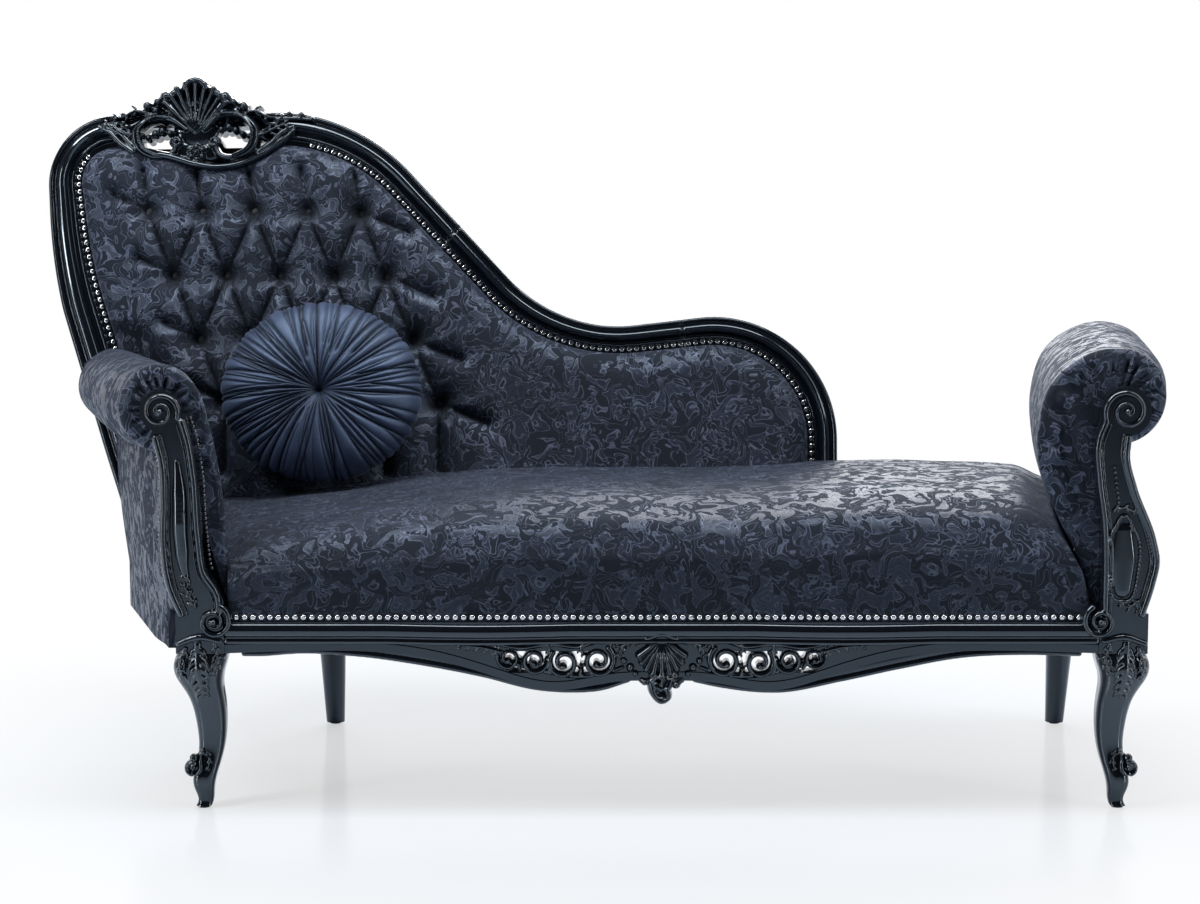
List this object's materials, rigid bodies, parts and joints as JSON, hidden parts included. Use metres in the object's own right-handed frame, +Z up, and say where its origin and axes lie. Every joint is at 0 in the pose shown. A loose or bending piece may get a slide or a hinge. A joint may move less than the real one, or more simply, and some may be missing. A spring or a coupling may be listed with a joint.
{
  "type": "chaise longue",
  "caption": "chaise longue with gloss black carved frame, rolled arms, sweeping tufted back, damask upholstery and a loose round pleated cushion",
  "frame": {"origin": "on the floor under the middle of the bounding box", "axes": "+X along the seat towards the low right end, +Y to the back, +Z up; the front faces -Y"},
  "size_m": [1.8981, 0.7456, 1.1365],
  "materials": {
    "lacquered_wood": "gloss",
    "frame_wood": "matte",
    "damask": "satin",
    "satin": "satin",
    "foam": "matte",
    "lining": "matte",
    "steel": "satin",
    "nail_metal": "polished",
    "glide_plastic": "matte"
  },
  "bodies": {
    "frame": {"apron_carving": "lacquered_wood", "back_buttons": "damask", "back_cover": "damask", "back_crest": "lacquered_wood", "back_end_stile": "lacquered_wood", "back_left_stile": "lacquered_wood", "back_nails": "nail_metal", "back_padding": "foam", "back_panel": "frame_wood", "back_rail": "frame_wood", "back_sill": "frame_wood", "back_sweep_rail": "lacquered_wood", "back_top_rail": "lacquered_wood", "back_uprights": "frame_wood", "block_screws": "steel", "corner_blocks": "frame_wood", "cross_rails": "frame_wood", "dust_cover": "lining", "foot_glides": "glide_plastic", "front_left_leg": "lacquered_wood", "front_rail": "lacquered_wood", "front_right_leg": "lacquered_wood", "left_arm_cover": "damask", "left_arm_padding": "foam", "left_arm_panel": "frame_wood", "left_arm_post": "lacquered_wood", "left_arm_rail": "frame_wood", "left_rail": "frame_wood", "leg_bolts": "steel", "outside_back_cover": "lining", "rear_left_leg": "lacquered_wood", "rear_right_leg": "lacquered_wood", "right_arm_bulkhead": "frame_wood", "right_arm_cover": "damask", "right_arm_padding": "foam", "right_arm_panel": "frame_wood", "right_arm_post": "lacquered_wood", "right_arm_rail": "frame_wood", "right_rail": "frame_wood", "seat_cover": "damask", "seat_hessian": "lining", "seat_nails": "nail_metal", "seat_padding": "foam", "seat_springs": "steel", "spring_clips": "steel"},
    "cushion": {"cushion_cover": "satin", "cushion_filling": "foam", "cushion_piping": "satin", "cushion_buttons": "satin"}
  },
  "joints": [
    {"name": "cushion_lift", "type": "slide", "parent": "frame", "child": "cushion", "axis": [0, 0, 1], "range_m": [0, 0.72]}
  ]
}
